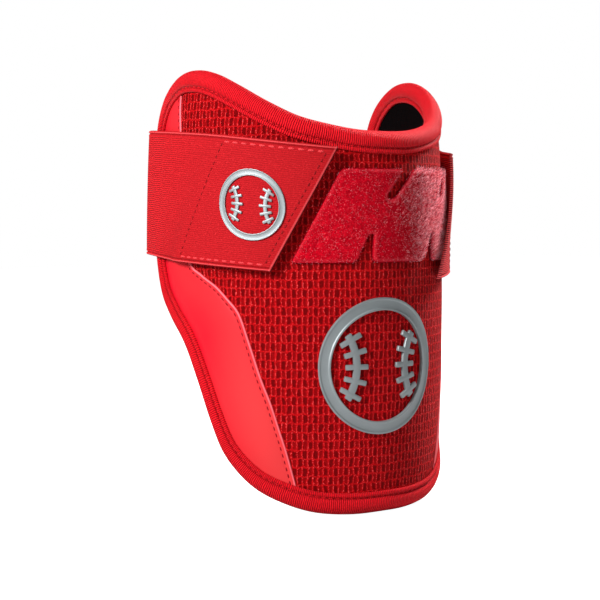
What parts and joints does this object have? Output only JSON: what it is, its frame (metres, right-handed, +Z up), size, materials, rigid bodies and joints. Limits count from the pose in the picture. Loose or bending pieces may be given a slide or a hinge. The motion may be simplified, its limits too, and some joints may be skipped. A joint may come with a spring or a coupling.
{
  "type": "baseball elbow guard",
  "caption": "Padded elbow guard: a curved cuff with a mesh front, smooth side wings, a bound edge and an elastic strap with a hook tab and loop patch.",
  "frame": {"origin": "on the arm's axis inside the hollow, 82 mm above the bottom of the cuff", "axes": "+Z up the arm, -Y out of the padded front, +X to the viewer's right when seen from the front"},
  "size_m": [0.1253, 0.1273, 0.1763],
  "materials": {
    "lining_foam": "black knitted lining over foam",
    "mesh": "dark red open mesh cloth",
    "wing": "smooth bright red coated cloth",
    "binding": "fine ribbed red binding, rolled over the edge",
    "loop_pile": "brushed red loop pile",
    "hook_tape": "red hook tape",
    "elastic": "red ribbed elastic webbing",
    "badge": "silver grey moulded badge, satin"
  },
  "bodies": {
    "root": {"lining": "lining_foam", "mesh_panel": "mesh", "wing_left": "wing", "wing_right": "wing", "edge_binding": "binding", "loop_patch": "loop_pile", "loop_patch_hidden": "loop_pile", "hook_tab": "hook_tape", "strap": "elastic", "badge_ring": "badge", "badge_seam_left": "badge", "badge_seam_right": "badge", "tab_badge_ring": "badge", "tab_badge_seam_left": "badge", "tab_badge_seam_right": "badge"}
  },
  "joints": []
}
